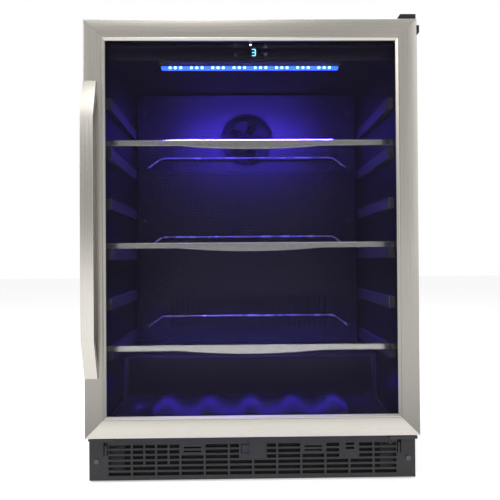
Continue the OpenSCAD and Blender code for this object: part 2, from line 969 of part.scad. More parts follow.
// The rear guard wire, which keeps a bottle from the back wall
module shelf_wire(n) {
    z = shelf_z(n) + glass_t + wire_r + 0.05;
    d = trim_d + shelf_d - 3;
    x = wire_half;
    color([0.8, 0.8, 0.8])
        wire(rounded([
            [-x, d - 24, z], [-x, d, z], [-x + wire_ramp, d, z + wire_rise - wire_r],
            [x - wire_ramp, d, z + wire_rise - wire_r], [x, d, z], [x, d - 24, z]
        ], 8), wire_r);
}

side_panel(-1);  // side_panel_left
side_panel(1);  // side_panel_right
top_panel();
rear_panel();
front_frame();
inner_liner();
foam_insulation();
shelf_ledges(-1);  // shelf_ledges_left
shelf_ledges(1);  // shelf_ledges_right
bottle_cradle();
evaporator_cover();
fan_grille();
evaporator_coil();
evaporator_fan_motor();
evaporator_fan();
sensor_cover();
control_panel();
display_window();
led_housing();
led_lens();
base_pan();
kick_grille();
kick_plate();
panel_screws();
compressor();
compressor_mounts();
condenser_coil();
condenser_fan_motor();
condenser_fan();
drip_tray();
refrigerant_pipes();
mains_inlet();
electronics_box();
hinge_bracket_lower();
hinge_bracket_upper();
hinge_cap();
blanking_plate();
foot(-1, foot_d[0]);  // foot_front_left
foot(1, foot_d[0]);  // foot_front_right
foot(-1, foot_d[1]);  // foot_rear_left
foot(1, foot_d[1]);  // foot_rear_right
door_frame();
door_glass_outer();
door_glass_inner();
glass_spacer();
door_gasket();
hinge_bushes();
door_handle();
handle_screws();
door_side_cap();
glass_shelf(1);  // glass_shelf_1
glass_shelf(2);  // glass_shelf_2
glass_shelf(3);  // glass_shelf_3
shelf_trim(1);  // shelf_trim_1
shelf_trim(2);  // shelf_trim_2
shelf_trim(3);  // shelf_trim_3
shelf_wire(1);  // shelf_wire_1
shelf_wire(2);  // shelf_wire_2
shelf_wire(3);  // shelf_wire_3
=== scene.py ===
"""Looks for the under-counter wine cooler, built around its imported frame.

All lengths are metres in the frame's own axes: +X right, +Y back, +Z up, with the door facing -Y.
"""
import json
import math

import bmesh
import bpy
from mathutils import Matrix, Vector


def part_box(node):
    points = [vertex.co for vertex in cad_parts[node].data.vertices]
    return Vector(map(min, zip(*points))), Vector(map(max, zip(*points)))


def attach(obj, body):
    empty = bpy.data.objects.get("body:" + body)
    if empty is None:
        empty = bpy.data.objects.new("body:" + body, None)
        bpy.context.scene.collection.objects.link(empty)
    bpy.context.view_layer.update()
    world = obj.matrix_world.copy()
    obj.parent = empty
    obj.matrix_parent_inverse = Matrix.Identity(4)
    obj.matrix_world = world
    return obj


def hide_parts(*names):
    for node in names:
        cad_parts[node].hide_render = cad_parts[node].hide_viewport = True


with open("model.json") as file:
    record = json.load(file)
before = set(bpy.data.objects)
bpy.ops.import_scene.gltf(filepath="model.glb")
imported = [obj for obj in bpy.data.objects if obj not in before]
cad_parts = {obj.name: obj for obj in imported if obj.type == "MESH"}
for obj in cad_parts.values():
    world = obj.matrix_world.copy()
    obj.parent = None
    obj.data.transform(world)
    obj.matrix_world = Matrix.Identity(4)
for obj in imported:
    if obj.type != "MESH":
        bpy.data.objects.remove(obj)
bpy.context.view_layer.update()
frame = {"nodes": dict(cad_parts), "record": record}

nodes = frame["nodes"]
MM = 0.001

door_low, door_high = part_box("door_frame")
front = door_low.y                      # the door's front face
half_w = door_high.x
step_face = front + 281 * MM            # the upright face of the compressor step, inside
SHELVES = (1, 2, 3)


# ---- camera ------------------------------------------------------------------------------------

CAMERA_DISTANCE = 1.2195                # in front of the door's face
CAMERA_SIDE = -0.0277                   # of the door's middle
CAMERA_HEIGHT = 0.4081
CAMERA_LENS = 49.47                     # in millimetres, on a sensor 36 mm wide
CAMERA_YAW = math.radians(-1.13)
CAMERA_PITCH = math.radians(0.55)
CAMERA_ROLL = math.radians(-0.40)


def make_camera():
    """A nearly straight view of the front, from a little below the middle of the door."""
    data = bpy.data.cameras.new("camera")
    data.lens = CAMERA_LENS
    data.sensor_width = 36
    data.clip_start = 0.05
    camera = bpy.data.objects.new("camera", data)
    bpy.context.scene.collection.objects.link(camera)
    turn = (
        Matrix.Rotation(CAMERA_YAW, 4, "Z")
        @ Matrix.Rotation(math.radians(90) + CAMERA_PITCH, 4, "X")
        @ Matrix.Rotation(CAMERA_ROLL, 4, "Z")
    )
    camera.matrix_world = Matrix.Translation((CAMERA_SIDE, front - CAMERA_DISTANCE, CAMERA_HEIGHT)) @ turn
    bpy.context.scene.camera = camera


# ---- materials ---------------------------------------------------------------------------------

class Shader:
    """A Principled material with short helpers for procedural detail in object space."""

    def __init__(self, name, colour, roughness=0.5, metallic=0.0, **inputs):
        self.material = bpy.data.materials.new(name)
        self.material.use_nodes = True
        self.tree = self.material.node_tree
        self.bsdf = self.tree.nodes["Principled BSDF"]
        self.colour = (*colour, 1)
        self.put("Base Color", self.colour)
        self.put("Roughness", roughness)
        self.put("Metallic", metallic)
        for key, value in inputs.items():
            self.put(key.replace("_", " "), value)
        self.where = self.tree.nodes.new("ShaderNodeTexCoord").outputs["Object"]

    def put(self, key, value):
        """Sets one of the shader's own inputs."""
        self.bsdf.inputs[key].default_value = value

    def link(self, a, b):
        self.tree.links.new(a, b)

    def node(self, kind, **settings):
        """A new node of the kind that follows "ShaderNode" in its type's name."""
        made = self.tree.nodes.new("ShaderNode" + kind)
        for key, value in settings.items():
            setattr(made, key, value)
        return made

    def stretched(self, scale):
        """The place in object space, scaled along each axis."""
        mapping = self.node("Mapping")
        mapping.inputs["Scale"].default_value = scale
        self.link(self.where, mapping.inputs["Vector"])
        return mapping.outputs["Vector"]

    def axes(self):
        """The place in object space, split into X, Y and Z."""
        split = self.node("SeparateXYZ")
        self.link(self.where, split.inputs[0])
        return split.outputs

    def cells(self, scale):
        """Voronoi cells, with their Color and Distance."""
        made = self.node("TexVoronoi")
        made.inputs["Scale"].default_value = scale
        self.link(self.where, made.inputs["Vector"])
        return made.outputs

    def noise(self, scale, detail=3.0, vector=None):
        made = self.node("TexNoise")
        made.inputs["Scale"].default_value = scale
        made.inputs["Detail"].default_value = detail
        self.link(vector or self.where, made.inputs["Vector"])
        return made.outputs["Fac"]

    def math(self, operation, a, b=None):
        """A maths node whose inputs are numbers or sockets."""
        made = self.node("Math", operation=operation)
        for socket, value in zip(made.inputs, (a, b)):
            if isinstance(value, (int, float)):
                socket.default_value = value
            elif value is not None:
                self.link(value, socket)
        return made.outputs[0]

    def ramp(self, value, start, end, low, high):
        """Low at the start, high at the end, and level beyond them."""
        made = self.node("MapRange")
        for key, number in (("From Min", start), ("From Max", end), ("To Min", low), ("To Max", high)):
            made.inputs[key].default_value = number
        self.link(value, made.inputs["Value"])
        return made.outputs["Result"]

    def spread(self, fac, low, high):
        """The factor's middle part, spread from low to high."""
        return self.ramp(fac, 0.3, 0.7, low, high)

    def mix(self, fac, a, b):
        """A blend of two colours, each a triple or a socket."""
        made = self.node("Mix", data_type="RGBA")
        for socket, value in ((made.inputs[0], fac), (made.inputs[6], a), (made.inputs[7], b)):
            if isinstance(value, tuple):
                socket.default_value = (*value, 1)
            else:
                self.link(value, socket)
        return made.outputs[2]

    def mix_value(self, fac, a, b):
        """A blend of two numbers, both sockets."""
        made = self.node("Mix", data_type="FLOAT")
        self.link(fac, made.inputs[0])
        self.link(a, made.inputs[2])
        self.link(b, made.inputs[3])
        return made.outputs[0]

    def tint(self, fac, darker, lighter):
        """Colour variation about the base colour."""
        low, high = (tuple(c * by for c in self.colour[:3]) for by in (darker, lighter))
        self.link(self.mix(self.spread(fac, 0, 1), low, high), self.bsdf.inputs["Base Color"])

    def rough(self, fac, low, high):
        self.link(self.spread(fac, low, high), self.bsdf.inputs["Roughness"])

    def bump(self, fac, distance, strength=1.0):
        made = self.node("Bump")
        made.inputs["Strength"].default_value = strength
        made.inputs["Distance"].default_value = distance
        self.link(fac, made.inputs["Height"])
        self.link(made.outputs["Normal"], self.bsdf.inputs["Normal"])


GRAIN_ALONG = 6                         # scales of the brushed lines, in lines a metre
GRAIN_ACROSS = 2600
BAND_ACROSS = 420
SMOOTH_DEPTH = 0.003 * MM               # grain of the plastics inside, too shallow to break up the blue light


def grain_scale(axis, across):
    """Noise scales for lines that run along one axis."""
    return tuple(GRAIN_ALONG if i == axis else across for i in range(3))


def brushed_steel(name, axis, colour=(0.525, 0.50, 0.455), roughness=(0.25, 0.34)):
    """Stainless steel brushed along one axis, or along each rail of a mitred frame when axis is None; on a
    frame the lower uprights also get painted shade.
    """
    shader = Shader(name, colour, metallic=1.0)
    if axis is None:
        fine = [shader.noise(1, 2, shader.stretched(grain_scale(a, GRAIN_ACROSS))) for a in (0, 2)]
        broad = [shader.noise(1, 2, shader.stretched(grain_scale(a, BAND_ACROSS))) for a in (0, 2)]
        upright = rail_is_upright(shader)
        fine, broad = (shader.mix_value(upright, *pair) for pair in (fine, broad))
    else:
        fine = shader.noise(1, 2, shader.stretched(grain_scale(axis, GRAIN_ACROSS)))
        broad = shader.noise(1, 2, shader.stretched(grain_scale(axis, BAND_ACROSS)))
    both = shader.math("ADD", shader.math("MULTIPLY", broad, 0.4), shader.math("MULTIPLY", fine, 0.6))
    shader.tint(both, 0.955, 1.045)
    if axis is None:
        # painted shade: the uprights darken towards the bottom
        paint_shade_on_low_uprights(shader, upright)
    shader.rough(fine, *roughness)
    shader.bump(fine, 0.00001, 0.4)
    return shader.material


def paint_shade_on_low_uprights(shader, upright):
    """Painted shade: the uprights' steel is darkened towards the bottom, standing in for their vertical grain
    mirroring less of the floor than the bottom rail does.
    """
    low = shader.ramp(shader.axes()["Z"], 0.10, 0.42, 0.62, 0.0)
    base = shader.bsdf.inputs["Base Color"]
    steel = base.links[0].from_socket
    # near-black painted shade mixed into the steel, strongest at the uprights' bottom
    shader.link(shader.mix(shader.math("MULTIPLY", low, upright), steel, (0.02, 0.02, 0.02)), base)


def rail_is_upright(shader):
    """1 on the door frame's upright rails and 0 on its level ones, split along the mitres."""
    axes = shader.axes()
    middle_z = (door_low.z + door_high.z) / 2
    half_h = (door_high.z - door_low.z) / 2
    from_side = shader.math("SUBTRACT", half_w, shader.math("ABSOLUTE", axes["X"]))
    from_middle = shader.math("SUBTRACT", axes["Z"], middle_z)
    from_end = shader.math("SUBTRACT", half_h, shader.math("ABSOLUTE", from_middle))
    return shader.math("LESS_THAN", from_side, from_end)


def plain(
    name, colour, roughness, metallic=0.0, grain=700, grain_depth=0.00004, mottle=40, uneven_by=1.0, **inputs
):
    """Plastic, paint, rubber or cast metal: a fine surface grain and a little uneven colour and gloss."""
    shader = Shader(name, colour, metallic=metallic, **inputs)
    uneven = shader.noise(mottle, 4)
    shader.tint(uneven, 1 - 0.12 * uneven_by, 1 + 0.14 * uneven_by)
    shader.rough(uneven, roughness - 0.06 * uneven_by, roughness + 0.06 * uneven_by)
    shader.bump(shader.noise(grain, 2), grain_depth)
    return shader.material


def moulded(name, colour, roughness, grain=900, uneven_by=0.2, **inputs):
    """The almost smooth plastics inside."""
    return plain(
        name, colour, roughness, grain=grain, grain_depth=SMOOTH_DEPTH, uneven_by=uneven_by, **inputs
    )


def glass(name, colour, alpha, shine, roughness=0.03):
    """Thin glass whose faint smears show only in its gloss."""
    shader = Shader(name, colour, metallic=0.0, IOR=1.5, Alpha=alpha)
    shader.put("Specular IOR Level", shine)
    shader.rough(shader.noise(9, 5), roughness, roughness + 0.05)
    shader.bump(shader.noise(14, 1), 0.00002, 0.3)
    return shader.material


def glowing(name, colour, strength, body=(0.5, 0.7, 0.9), mottle=60):
    """A lit lens or diode, a little uneven along its length."""
    shader = Shader(name, body, roughness=0.35)
    uneven = shader.noise(mottle, 2)
    shader.tint(uneven, 0.9, 1.1)
    shader.put("Emission Color", (*colour, 1))
    power = shader.spread(uneven, strength * 0.85, strength * 1.15)
    shader.link(power, shader.bsdf.inputs["Emission Strength"])
    return shader.material


def copper_tube(name):
    """Drawn copper with a dull patina in patches."""
    shader = Shader(name, (0.72, 0.36, 0.20), metallic=1.0)
    patina = shader.noise(55, 5)
    shader.tint(patina, 0.55, 1.1)
    shader.rough(patina, 0.5, 0.25)
    shader.bump(shader.noise(400, 2), 0.00003)
    return shader.material


def fins(name, colour):
    """Folded fin sheet: bright metal with a dusty, uneven face."""
    shader = Shader(name, colour, metallic=0.9)
    dust = shader.noise(30, 5)
    shader.tint(dust, 0.7, 1.05)
    shader.rough(dust, 0.35, 0.6)
    shader.bump(shader.noise(1, 2, shader.stretched((20, 20, 600))), 0.00008)
    return shader.material


def galvanised(name):
    """Zinc-coated sheet with its flat crystals."""
    shader = Shader(name, (0.46, 0.47, 0.48), metallic=1.0)
    split = shader.node("SeparateColor")
    shader.link(shader.cells(130)["Color"], split.inputs[0])
    shader.tint(split.outputs[0], 0.93, 1.04)
    shader.rough(split.outputs[1], 0.40, 0.50)
    shader.bump(shader.noise(300, 2), 0.00003)
    return shader.material


def foam(name):
    """Blown foam with its fine cells."""
    shader = Shader(name, (0.86, 0.78, 0.5), roughness=0.9)
    shader.tint(shader.noise(35, 4), 0.85, 1.08)
    shader.bump(shader.cells(500)["Distance"], 0.0004)
    return shader.material


def make_materials():
    """One material for each material slot of the record."""
    return {
        "black_steel": plain(
            "black_steel", (0.014, 0.014, 0.016), 0.46, grain=420, grain_depth=0.00006, uneven_by=0.4
        ),
        "galvanised_steel": galvanised("galvanised_steel"),
        "liner_plastic": moulded("liner_plastic", (0.0040, 0.0040, 0.0050), 0.36, uneven_by=0.15),
        "foam": foam("foam"),
        "dark_plastic": moulded("dark_plastic", (0.0045, 0.0045, 0.0056), 0.34, grain=1100, uneven_by=0.15),
        "machine_plastic": plain("machine_plastic", (0.06, 0.06, 0.064), 0.55, grain=800),
        "fin_aluminium": fins("fin_aluminium", (0.75, 0.76, 0.78)),
        "condenser_black": plain("condenser_black", (0.03, 0.03, 0.03), 0.5),
        "window_gloss": moulded("window_gloss", (0.006, 0.006, 0.009), 0.12, grain=60, uneven_by=1.0),
        "lamp_body": plain("lamp_body", (0.005, 0.005, 0.007), 0.55),
        "lamp_lens": glowing("lamp_lens", (0.015, 0.15, 1.0), 2.4, body=(0.1, 0.2, 0.5)),
        "kick_paint": plain(
            "kick_paint", (0.026, 0.026, 0.027), 0.5, grain=480, grain_depth=0.00007, Specular_IOR_Level=0.3
        ),
        "screw_steel": plain("screw_steel", (0.10, 0.10, 0.105), 0.38, metallic=1.0),
        "compressor_black": plain(
            "compressor_black", (0.02, 0.02, 0.022), 0.28, grain=200, grain_depth=0.0001
        ),
        "rubber": plain("rubber", (0.028, 0.028, 0.029), 0.7),
        "copper": copper_tube("copper"),
        "foot_steel": plain("foot_steel", (0.02, 0.02, 0.021), 0.6),
        "stainless": brushed_steel("stainless", 0),
        "bright_wire": plain("bright_wire", (0.62, 0.62, 0.64), 0.26, metallic=0.55, grain=300),
        "tinted_glass": glass("tinted_glass", (0.016, 0.0125, 0.026), 0.20, 0.08),
        "spacer_black": plain("spacer_black", (0.02, 0.02, 0.02), 0.55, metallic=0.3),
        "bush_plastic": plain("bush_plastic", (0.75, 0.75, 0.70), 0.45),
        "shelf_glass": glass("shelf_glass", (0.03, 0.05, 0.06), 0.12, 0.5),
    }


def dress_nodes(materials):
    """Gives every CAD node its slot's material, or one of its own that suits its place; the ledges' much
    lighter plastic is painted light.
    """
    slot_of = {entry["node"]: entry["material_slot"] for entry in frame["record"]["subparts"]}
    special = {
        # the rails' material carries painted shade on the lower uprights
        "door_frame": brushed_steel("stainless_rails_painted_shade", None),
        "door_handle": brushed_steel("stainless_upright", 2),
        "fan_grille": moulded(
            "fan_grille_black", (0.0035, 0.0035, 0.005), 0.34, uneven_by=1.0, Specular_IOR_Level=0.1
        ),
        "evaporator_fan": plain("fan_blades", (0.005, 0.005, 0.006), 0.4, Specular_IOR_Level=0.1),
        "door_glass_inner": glass("inner_pane_glass", (0.004, 0.004, 0.007), 0.06, 0.06),
    }
    # Painted light: the ledges get a much lighter colour than the liner's plastic, standing in for the light
    # bar's glow on their front ends.
    for side in ("left", "right"):
        special[f"shelf_ledges_{side}"] = moulded(f"ledges_{side}_plastic", (0.085, 0.082, 0.095), 0.32)
    for name, node in nodes.items():
        material = special.get(name, materials[slot_of[name]])
        if not node.data.materials:
            node.data.materials.append(material)
        for place in node.material_slots:
            place.material = material
    return special


# ---- mesh helpers ------------------------------------------------------------------------------

def finish_piece(name, bm, material, body, bevel=0.0, segments=2, angle=35):
    """Turns a bmesh into a piece with smooth shading and bevelled edges that rides on its body."""
    bmesh.ops.recalc_face_normals(bm, faces=bm.faces)
    mesh = bpy.data.meshes.new(name)
    bm.to_mesh(mesh)
    bm.free()
    obj = bpy.data.objects.new(name, mesh)
    bpy.context.scene.collection.objects.link(obj)
    mesh.materials.append(material)
    mesh.polygons.foreach_set("use_smooth", [True] * len(mesh.polygons))
    mesh.set_sharp_from_angle(angle=math.radians(angle))
    if bevel:
        edge = obj.modifiers.new("bevel", "BEVEL")
        edge.width = bevel
        edge.segments = segments
        edge.limit_method = "ANGLE"
        edge.angle_limit = math.radians(angle)
        edge.harden_normals = True
    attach(obj, body)
    return obj


def add_box(bm, low, high):
    """A box between two opposite corners."""
    xs, ys, zs = zip(low, high)
    corners = [bm.verts.new((x, y, z)) for x in xs for y in ys for z in zs]
    for face in ((0, 1, 3, 2), (4, 6, 7, 5), (0, 4, 5, 1), (2, 3, 7, 6), (0, 2, 6, 4), (1, 5, 7, 3)):
        bm.faces.new([corners[i] for i in face])


def add_prism(bm, outline, place, start, end):
    """Extrudes an outline of pairs; place(a, b, t) turns a pair and a distance into a point."""
    rings = [[bm.verts.new(place(a, b, t)) for a, b in outline] for t in (start, end)]
    count = len(outline)
    for i in range(count):
        j = (i + 1) % count
        bm.faces.new((rings[0][i], rings[0][j], rings[1][j], rings[1][i]))
    bm.faces.new(rings[0])
    bm.faces.new(rings[1])


def add_rings(bm, rings, closed=False):
    """Skins a row of equal rings of points, with a cap at each end unless the row is closed."""
    loops = [[bm.verts.new(p) for p in ring] for ring in rings]
    pairs = list(zip(loops, loops[1:]))
    if closed:
        pairs.append((loops[-1], loops[0]))
    for a, b in pairs:
        for i in range(len(a)):
            j = (i + 1) % len(a)
            bm.faces.new((a[i], a[j], b[j], b[i]))
    if not closed:
        bm.faces.new(loops[0])
        bm.faces.new(loops[-1])


def arc(centre, radius, start, end, steps=6):
    """Points on an arc, with its angles in degrees."""
    return [
        (
            centre[0] + radius * math.cos(math.radians(start + (end - start) * i / steps)),
            centre[1] + radius * math.sin(math.radians(start + (end - start) * i / steps)),
        )
        for i in range(steps + 1)
    ]


def tube_rings(points, radius, sides=12):
    """Rings of a round bar along a path, each square to the path's direction there."""
    points = [Vector(p) for p in points]
    turns = [2 * math.pi * k / sides for k in range(sides)]
    rings = []
    for i, point in enumerate(points):
        ahead = points[min(i + 1, len(points) - 1)] - points[max(i - 1, 0)]
        across = ahead.orthogonal() if not rings else (side - side.project(ahead))
        side = across.normalized()
        other = ahead.normalized().cross(side)
        rings.append([point + radius * (math.cos(turn) * side + math.sin(turn) * other) for turn in turns])
    return rings


def round_corners(path, bend, steps=6):
    """The path with each of its corners drawn as a short curve."""
    points = [path[0]]
    for before, corner, after in zip(path, path[1:], path[2:]):
        a = corner + bend * (before - corner).normalized()
        b = corner + bend * (after - corner).normalized()
        for i in range(steps + 1):
            t = i / steps
            points.append((1 - t) ** 2 * a + 2 * t * (1 - t) * corner + t * t * b)
    return points + [path[-1]]


# ---- door --------------------------------------------------------------------------------------

RAIL_W = 38 * MM
RAIL_CORNER = 1.6 * MM
BEAD_W = 4.4 * MM                       # the sloping bead round the glass
BEAD_DEPTH = 3.5 * MM
GROOVE_W = 1.3 * MM
GROOVE_DEPTH = 1.1 * MM
LIP_DEPTH = 8 * MM
REBATE = (22 * MM, 28 * MM)             # the glass rebate's distance from the outer edge, and its depth
KEEPER_W = 28 * MM
MITRE_GAP = 0.1 * MM


def rail_section():
    """The rail's outline as (distance from the outer edge, depth), with rounded edges."""
    door_t = door_high.y - door_low.y
    bead_start = RAIL_W - BEAD_W
    soft = 0.5 * MM
    section = arc((RAIL_CORNER, RAIL_CORNER), RAIL_CORNER, 180, 270)
    section += [
        (bead_start - GROOVE_W - soft, 0), (bead_start - GROOVE_W, soft * 0.4),
        (bead_start - GROOVE_W * 0.8, GROOVE_DEPTH), (bead_start - GROOVE_W * 0.2, GROOVE_DEPTH),
        (bead_start, soft * 0.5), (bead_start + soft, soft * 0.3),
        (RAIL_W - soft, BEAD_DEPTH - soft * 0.4), (RAIL_W, BEAD_DEPTH + soft * 0.6),
        (RAIL_W, LIP_DEPTH), (REBATE[0], LIP_DEPTH), REBATE, (KEEPER_W - soft, REBATE[1]),
        (KEEPER_W, REBATE[1] + soft), (KEEPER_W, door_t - soft), (KEEPER_W - soft, door_t),
        (RAIL_CORNER, door_t), (0, door_t - RAIL_CORNER),
    ]
    return section


def rail_point(level, side, end, inset, depth):
    """A point of the section at one end of a level or an upright rail, drawn in along the mitre."""
    if level:
        x = end * (half_w - inset - MITRE_GAP)
        z = door_high.z - inset if side > 0 else door_low.z + inset
    else:
        x = side * (half_w - inset)
        z = door_high.z - inset - MITRE_GAP if end > 0 else door_low.z + inset + MITRE_GAP
    return x, front + depth, z


def make_rails(material):
    """Four rails, mitred at the corners, in place of the CAD frame."""
    section = rail_section()
    for name, level, side in (
        ("rail_top", True, 1), ("rail_bottom", True, -1),
        ("rail_handle_side", False, -1), ("rail_hinge_side", False, 1),
    ):
        bm = bmesh.new()
        add_rings(bm, [[rail_point(level, side, end, *pair) for pair in section] for end in (-1, 1)])
        finish_piece(name, bm, material, "door", angle=25)
    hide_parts("door_frame")


def make_handle(material):
    """The strap handle, with crisp creases and softly rounded long edges."""
    low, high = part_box("door_handle")
    strap = 8 * MM
    rise = 69.3 * MM                    # height of each sloping end
    foot = 18 * MM                      # where each end meets the door
    reach = low.y
    bm = bmesh.new()
    outline = [
        (front, low.z), (front - strap, low.z), (reach, low.z + rise), (reach, high.z - rise),
        (front - strap, high.z), (front, high.z), (front, high.z - foot),
        (reach + strap, high.z - rise - strap / 2), (reach + strap, low.z + rise + strap / 2),
        (front, low.z + foot),
    ]
    add_prism(bm, outline, lambda y, z, x: (x, y, z), low.x, high.x)
    piece = finish_piece(
        "strap_handle", bm, material, "door", bevel=1.1 * MM, segments=3, angle=60
    )
    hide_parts("door_handle")


def make_gasket(material):
    """The magnetic seal: a bellows section run round the door's back in place of the CAD strips."""
    low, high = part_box("door_gasket")
    width = 11 * MM
    depth = high.y - low.y
    section = [                         # in parts of the seal's width and depth
        (0.1, 0), (0.9, 0), (0.9, 0.25), (1.0, 0.45), (0.92, 0.6), (1.0, 0.8), (0.95, 1.0),
        (0.05, 1.0), (0.0, 0.8), (0.08, 0.6), (0.0, 0.45), (0.1, 0.25),
    ]
    rings = []
    for right, upper in ((False, False), (True, False), (True, True), (False, True)):
        rings.append([
            (
                high.x - across * width if right else low.x + across * width,
                low.y + back * depth,
                high.z - across * width if upper else low.z + across * width,
            )
            for across, back in section
        ])
    bm = bmesh.new()
    add_rings(bm, rings, closed=True)
    piece = finish_piece("bellows_seal", bm, material, "door", bevel=0.3 * MM, angle=30)
    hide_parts("door_gasket")


# ---- control panel and light -------------------------------------------------------------------

MARK_T = 0.25 * MM                      # thickness of the lit marks on the window
MARK_LINE = 0.6 * MM


def place_on_front(x, z, y):
    """Turns an outline of (x, z) pairs and a depth into points on a face that looks forwards."""
    return x, y, z


def segment(bm, start, end, width, y):
    """A flat bar from one (x, z) point to another on a face that looks forwards, with pointed ends."""
    a, b = Vector(start), Vector(end)
    along = (b - a).normalized() * width / 2
    across = Vector((-along.y, along.x))
    outline = [a, a + along + across, b - along + across, b, b - along - across, a + along - across]
    add_prism(bm, [tuple(p) for p in outline], place_on_front, y, y + MARK_T)


def make_digit(y, base):
    """One lit digit of the temperature display."""
    line = 1.15 * MM
    left, right = 3.4 * MM, 10 * MM
    bottom, top = base + 10 * MM, base + 21.5 * MM
    middle = (bottom + top) / 2
    bm = bmesh.new()
    for z in (bottom, middle, top):
        segment(bm, (left, z), (right, z), line, y)
    for z0, z1 in ((bottom, middle), (middle, top)):
        segment(bm, (right, z0), (right, z1), line, y)
    lit = glowing("display_light", (0.15, 0.75, 1.0), 5)
    finish_piece("display_digit", bm, lit, "cabinet")


def make_touch_marks(y, base):
    """Up and down arrows on the right, and two ring marks on the left."""
    bm = bmesh.new()
    column = 29 * MM
    half, tall = 3.4 * MM, 5 * MM
    for foot, way in ((base + 25.5 * MM, 1), (base + 14 * MM, -1)):
        for x in (column - half, column + half):
            segment(bm, (x, foot), (column, foot + way * tall), MARK_LINE, y)
        segment(bm, (column - half, foot), (column + half, foot), MARK_LINE, y)
    column = -26.5 * MM
    for z, radius in ((base + 28 * MM, 3.2 * MM), (base + 11.2 * MM, 2.4 * MM)):
        ring = arc((column, z), radius, 0, 330, 22)
        for a, b in zip(ring, ring[1:]):
            segment(bm, a, b, MARK_LINE, y)
        segment(bm, (column, z), (column, z + radius * 1.35), MARK_LINE, y)
    mark = glowing("touch_marks", (0.35, 0.36, 0.5), 0.8, body=(0.02, 0.02, 0.025))
    finish_piece("touch_marks", bm, mark, "cabinet")


def make_pilot_dot(y, base):
    """The small white pilot light above the digit."""
    bm = bmesh.new()
    add_prism(bm, arc((1 * MM, base + 30 * MM), 1.3 * MM, 0, 345, 23), place_on_front, y, y + MARK_T)
    white = glowing("pilot_light", (0.9, 0.95, 1.0), 14)
    finish_piece("pilot_dot", bm, white, "cabinet")


def make_display(materials):
    """The window's lit digit, its touch marks, the pilot dot and the panel's lower edge line."""
    low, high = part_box("display_window")
    y = low.y - MARK_T
    make_digit(y, low.z)
    make_touch_marks(y, low.z)
    make_pilot_dot(y, low.z)
    bm = bmesh.new()
    add_box(bm, (low.x, low.y - 0.4 * MM, low.z), (high.x, low.y + 0.4 * MM, low.z + 0.9 * MM))
    finish_piece("panel_edge_line", bm, materials["lamp_body"], "cabinet", bevel=0.2 * MM)


def make_diodes():
    """Eight groups of three diodes along the light bar's front slope."""
    low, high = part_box("led_lens")
    pitch = 10 * MM
    groups, group_pitch = 8, 4          # each group takes three places and leaves one empty
    y = low.y + 0.9 * MM
    z = (low.z + high.z) / 2 - 0.3 * MM
    flat = Matrix.Scale(0.55, 4, (0, 1, 0))
    bm = bmesh.new()
    for i in range(groups * group_pitch):
        if i % group_pitch == group_pitch - 1:
            continue
        x = (i - (groups * group_pitch - 2) / 2) * pitch
        bmesh.ops.create_uvsphere(
            bm, u_segments=12, v_segments=8, radius=2.7 * MM, matrix=Matrix.Translation((x, y, z)) @ flat
        )
    hot = glowing("diode_glow", (0.30, 0.62, 1.0), 7)
    finish_piece("light_diodes", bm, hot, "cabinet")


# ---- shelves -----------------------------------------------------------------------------------

TRIM_SHEET = 1.8 * MM
WIRE_RADIUS = 2.2 * MM


def trim_section(face, top, bottom):
    """A trim's outline as (y, z): a rolled bead along its top and bottom and a flatter band between."""
    bead = 1.3 * MM
    edge = face + 0.5 * MM
    band = face + 0.9 * MM
    back = face + TRIM_SHEET
    return [
        (back, top), (edge, top), (face, top - bead * 0.4), (face, top - bead), (band, top - bead * 1.5),
        (band, bottom + bead * 1.5), (face, bottom + bead), (face, bottom + bead * 0.4), (edge, bottom),
        (back, bottom),
    ]


def make_shelf_trims(material):
    """Each shelf's front trim, whose bottom edge bows down in the middle, with lips over the glass."""
    bow_half = 132 * MM
    bow_drop = 6 * MM
    steps = 60
    for n in SHELVES:
        name = f"trim_rail_{n}"
        low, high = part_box(f"shelf_trim_{n}")
        straight_z = low.z + bow_drop
        rings = []
        for i in range(steps + 1):
            x = low.x + (high.x - low.x) * i / steps
            bottom = straight_z - bow_drop * max(0.0, 1 - (x / bow_half) ** 2)
            rings.append([(x, y, z) for y, z in trim_section(low.y, high.z, bottom)])
        bm = bmesh.new()
        add_rings(bm, rings)
        glass_low, glass_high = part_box(f"glass_shelf_{n}")
        back = low.y + TRIM_SHEET
        add_box(bm, (low.x, back, straight_z), (high.x, high.y, glass_low.z))
        add_box(bm, (low.x, back, glass_high.z), (high.x, high.y, high.z))
        piece = finish_piece(name, bm, material, f"shelf_{n}", angle=40)
        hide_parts(f"shelf_trim_{n}")


def make_wire_clips(materials):
    """Small grips that hold each guard wire's ends to its glass."""
    half, tall = 4 * MM, 6.5 * MM
    for n in SHELVES:
        low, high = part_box(f"shelf_wire_{n}")
        glass_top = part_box(f"glass_shelf_{n}")[1].z
        start, end = low.y + 1 * MM, low.y + 11 * MM
        bm = bmesh.new()
        for side in (-1, 1):
            x = side * (high.x - WIRE_RADIUS)
            add_box(bm, (x - half, start, glass_top), (x + half, end, glass_top + tall))
        name = f"wire_grips_{n}"
        finish_piece(name, bm, materials["dark_plastic"], f"shelf_{n}", bevel=1 * MM)


def make_wires(material):
    """The rear guard wires, as smooth round bars with bent corners."""
    ramp = 34 * MM
    bend = 9 * MM
    for n in SHELVES:
        low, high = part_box(f"shelf_wire_{n}")
        x = high.x - WIRE_RADIUS
        z0, z1 = low.z + WIRE_RADIUS, high.z - WIRE_RADIUS
        y0, y1 = low.y + WIRE_RADIUS, high.y - WIRE_RADIUS
        path = [(-x, y0, z0), (-x, y1, z0), (-x + ramp, y1, z1), (x - ramp, y1, z1), (x, y1, z0), (x, y0, z0)]
        bm = bmesh.new()
        add_rings(bm, tube_rings(round_corners([Vector(p) for p in path], bend), WIRE_RADIUS, 16))
        name = f"guard_wire_{n}"
        piece = finish_piece(name, bm, material, f"shelf_{n}", angle=50)
        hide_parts(f"shelf_wire_{n}")


# ---- cabinet floor and walls -------------------------------------------------------------------

